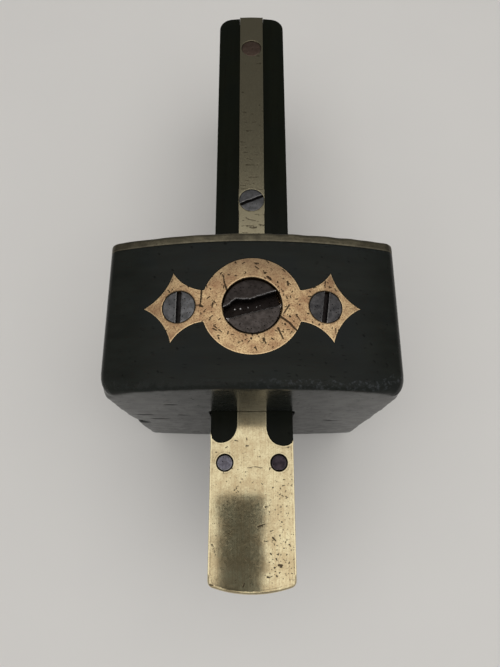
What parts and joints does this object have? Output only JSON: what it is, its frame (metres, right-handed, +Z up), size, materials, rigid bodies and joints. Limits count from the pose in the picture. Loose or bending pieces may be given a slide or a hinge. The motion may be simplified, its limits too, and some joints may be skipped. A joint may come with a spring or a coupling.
{
  "type": "mortise marking gauge",
  "caption": "Mortise marking gauge: a brass-faced ebony stock slides on a square brass-strapped stem, is clamped by a slotted screw, and scribes with a fixed and a sliding point.",
  "frame": {"origin": "under the middle of the gauge's box, at the level of the lowest flat of the stock's domed foot", "axes": "+Y runs along the stem from its tail to its marking points, +Z runs up the clamp screw's axis, +X is to the right seen from the tail with the clamp screw up"},
  "size_m": [0.061, 0.1598, 0.0702],
  "materials": {
    "ebony": "oiled and hand-polished, with worn arrises and fine scratches",
    "worn_brass": "bare, handled bright, with pits, dents and scratches",
    "aged_brass": "bare, toned dull olive brown",
    "browned_steel": "rust-browned, with a slot worn bright",
    "worn_steel": "grey, dull and scuffed"
  },
  "bodies": {
    "stock": {"stock_block": "ebony", "face_plate": "aged_brass", "face_screw_upper_left": "aged_brass", "face_screw_upper_right": "aged_brass", "face_screw_lower_left": "aged_brass", "face_screw_lower_right": "aged_brass", "clamp_escutcheon": "worn_brass", "escutcheon_screw_left": "worn_steel", "escutcheon_screw_right": "worn_steel"},
    "shoe": {"pressure_shoe": "aged_brass"},
    "clamp": {"clamp_screw": "browned_steel"},
    "stem": {"stem_bar": "ebony", "wear_strap": "worn_brass", "tail_pin_left": "browned_steel", "tail_pin_right": "browned_steel", "strap_screw": "worn_steel", "fixed_point": "browned_steel", "point_keeper": "aged_brass"},
    "slide": {"mortise_slide": "aged_brass", "moving_point": "browned_steel"}
  },
  "joints": [
    {"name": "stem_slide", "type": "slide", "parent": "stock", "child": "stem", "axis": [0, 1, 0], "range_m": [-0.052, 0.034]},
    {"name": "point_slide", "type": "slide", "parent": "stem", "child": "slide", "axis": [0, -1, 0], "range_m": [0, 0.019]},
    {"name": "shoe_lift", "type": "slide", "parent": "stock", "child": "shoe", "axis": [0, 0, 1], "range_m": [0, 0.00181]},
    {"name": "clamp_turn", "type": "hinge", "parent": "shoe", "child": "clamp", "pos_m": [0, -0.02435, 0.06], "axis": [0, 0, 1], "range_deg": [0, 360]}
  ],
  "couplings": [
    {"joint": "clamp_turn", "follows": "shoe_lift", "rad_per_m": 3463.7}
  ]
}
